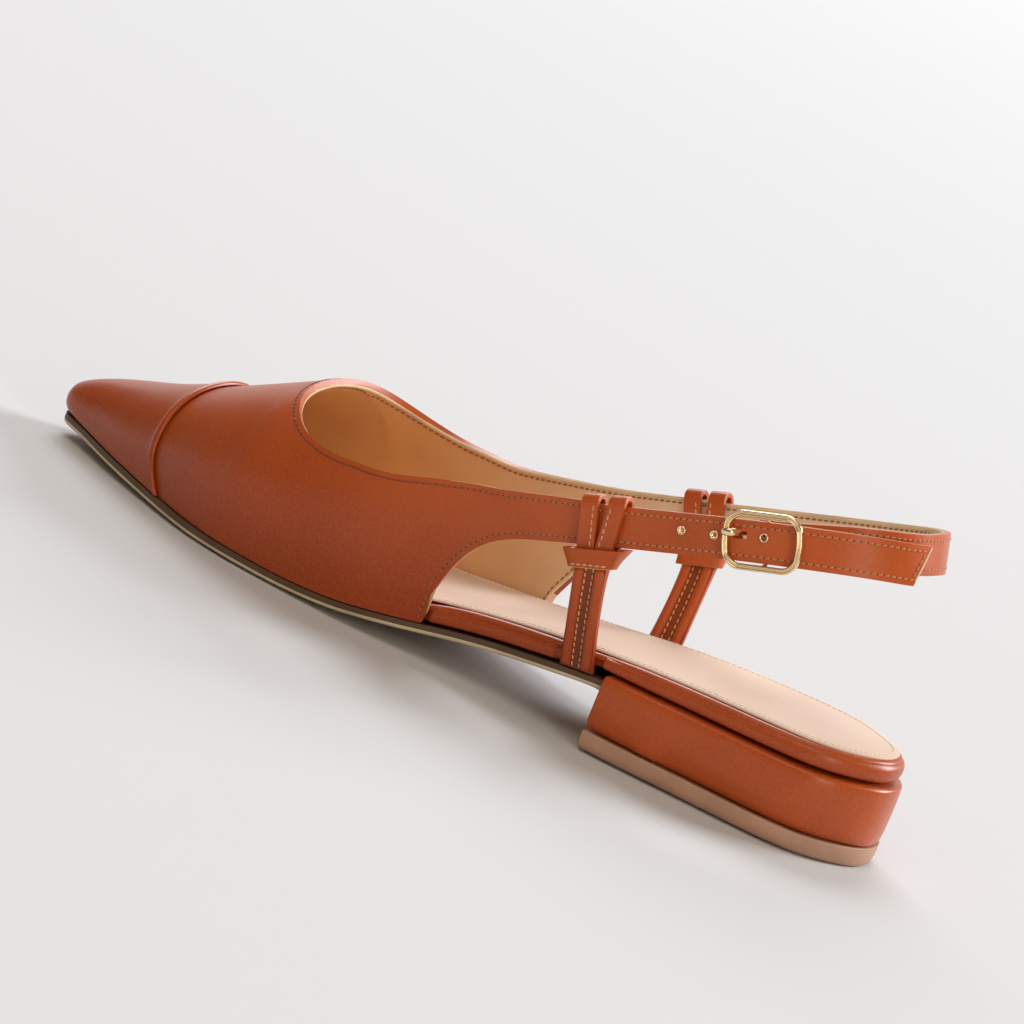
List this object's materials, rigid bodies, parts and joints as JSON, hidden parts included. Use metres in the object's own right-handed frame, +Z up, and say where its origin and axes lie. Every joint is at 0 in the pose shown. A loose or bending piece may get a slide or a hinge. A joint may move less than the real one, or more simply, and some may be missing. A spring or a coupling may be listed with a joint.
{
  "type": "sling back flat",
  "caption": "Left pointed-toe sling back flat with an open waist, looped side stays, a heel strap closed by a side buckle, and a low leather-covered block heel.",
  "frame": {"origin": "middle of the bounding box in plan, at the floor", "axes": "+X from toe to heel, -Y towards the outer side with the buckle, +Z up"},
  "size_m": [0.265, 0.0838, 0.0855],
  "materials": {
    "leather": "smooth cognac calf, semi-gloss",
    "sock": "matt beige lining leather",
    "outsole": "thin sole with a dark inked edge",
    "top_piece": "satin tan rubber",
    "gold": "polished pale gold"
  },
  "bodies": {
    "root": {"outsole": "outsole", "heel_block": "leather", "heel_top_piece": "top_piece", "footbed": "leather", "insole_sock": "sock", "upper": "leather", "toe_cap": "leather", "stay_near": "leather", "stay_far": "leather", "keeper_near": "leather", "keeper_far": "leather", "buckle_frame": "gold", "buckle_prong": "gold", "eyelet_1": "gold", "eyelet_2": "gold", "eyelet_3": "gold"}
  },
  "joints": []
}
